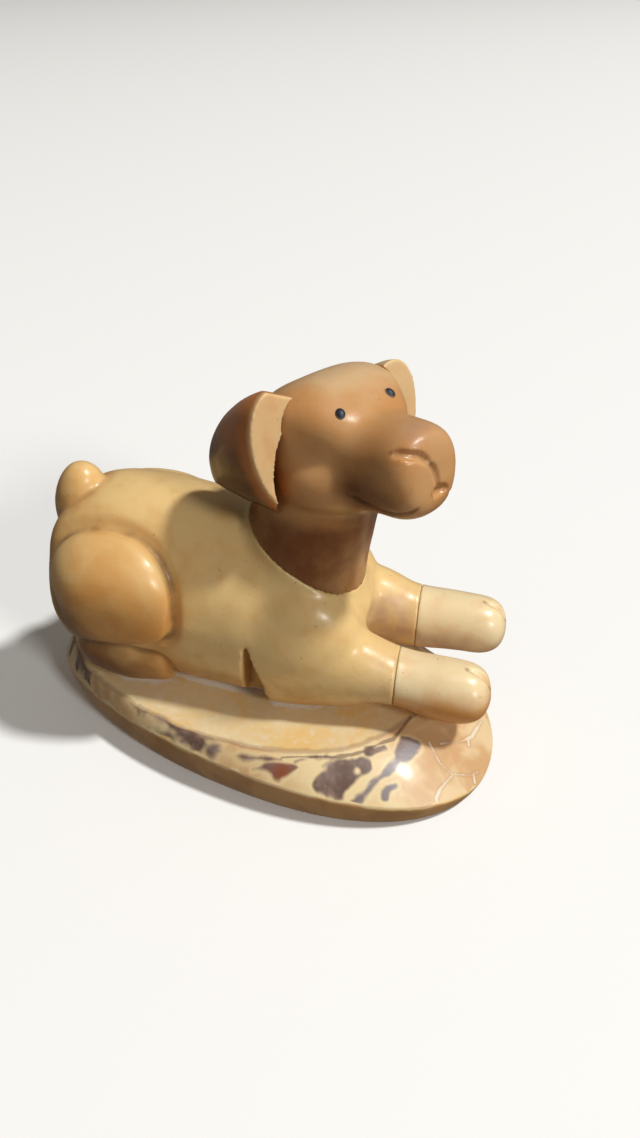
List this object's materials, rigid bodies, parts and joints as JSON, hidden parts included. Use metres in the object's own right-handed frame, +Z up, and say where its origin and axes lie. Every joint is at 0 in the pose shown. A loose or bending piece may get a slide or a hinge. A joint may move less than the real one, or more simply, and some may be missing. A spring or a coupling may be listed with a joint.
{
  "type": "dog figurine",
  "caption": "Small polished carving of a lying dog that looks round to its right, glued up on an oval slice of nut.",
  "frame": {"origin": "on the ground under the middle of the box round the whole carving", "axes": "+X the way the dog's body and forelegs point, along the base; +Y the dog's left side; +Z up"},
  "size_m": [0.0594, 0.0328, 0.048],
  "materials": {
    "base": "polished nut slice, honey top, mottled brown skin on the rim",
    "body": "polished honey nut ivory",
    "head": "polished brown nut ivory",
    "right_ear": "polished orange-brown nut ivory",
    "left_ear": "polished cream nut ivory",
    "right_paw": "polished cream nut ivory",
    "left_paw": "polished cream nut ivory",
    "right_eye": "small glossy black inset",
    "left_eye": "small glossy black inset"
  },
  "bodies": {
    "root": {"base": "base", "body": "body", "head": "head", "right_ear": "right_ear", "left_ear": "left_ear", "right_paw": "right_paw", "left_paw": "left_paw", "right_eye": "right_eye", "left_eye": "left_eye"}
  },
  "joints": []
}
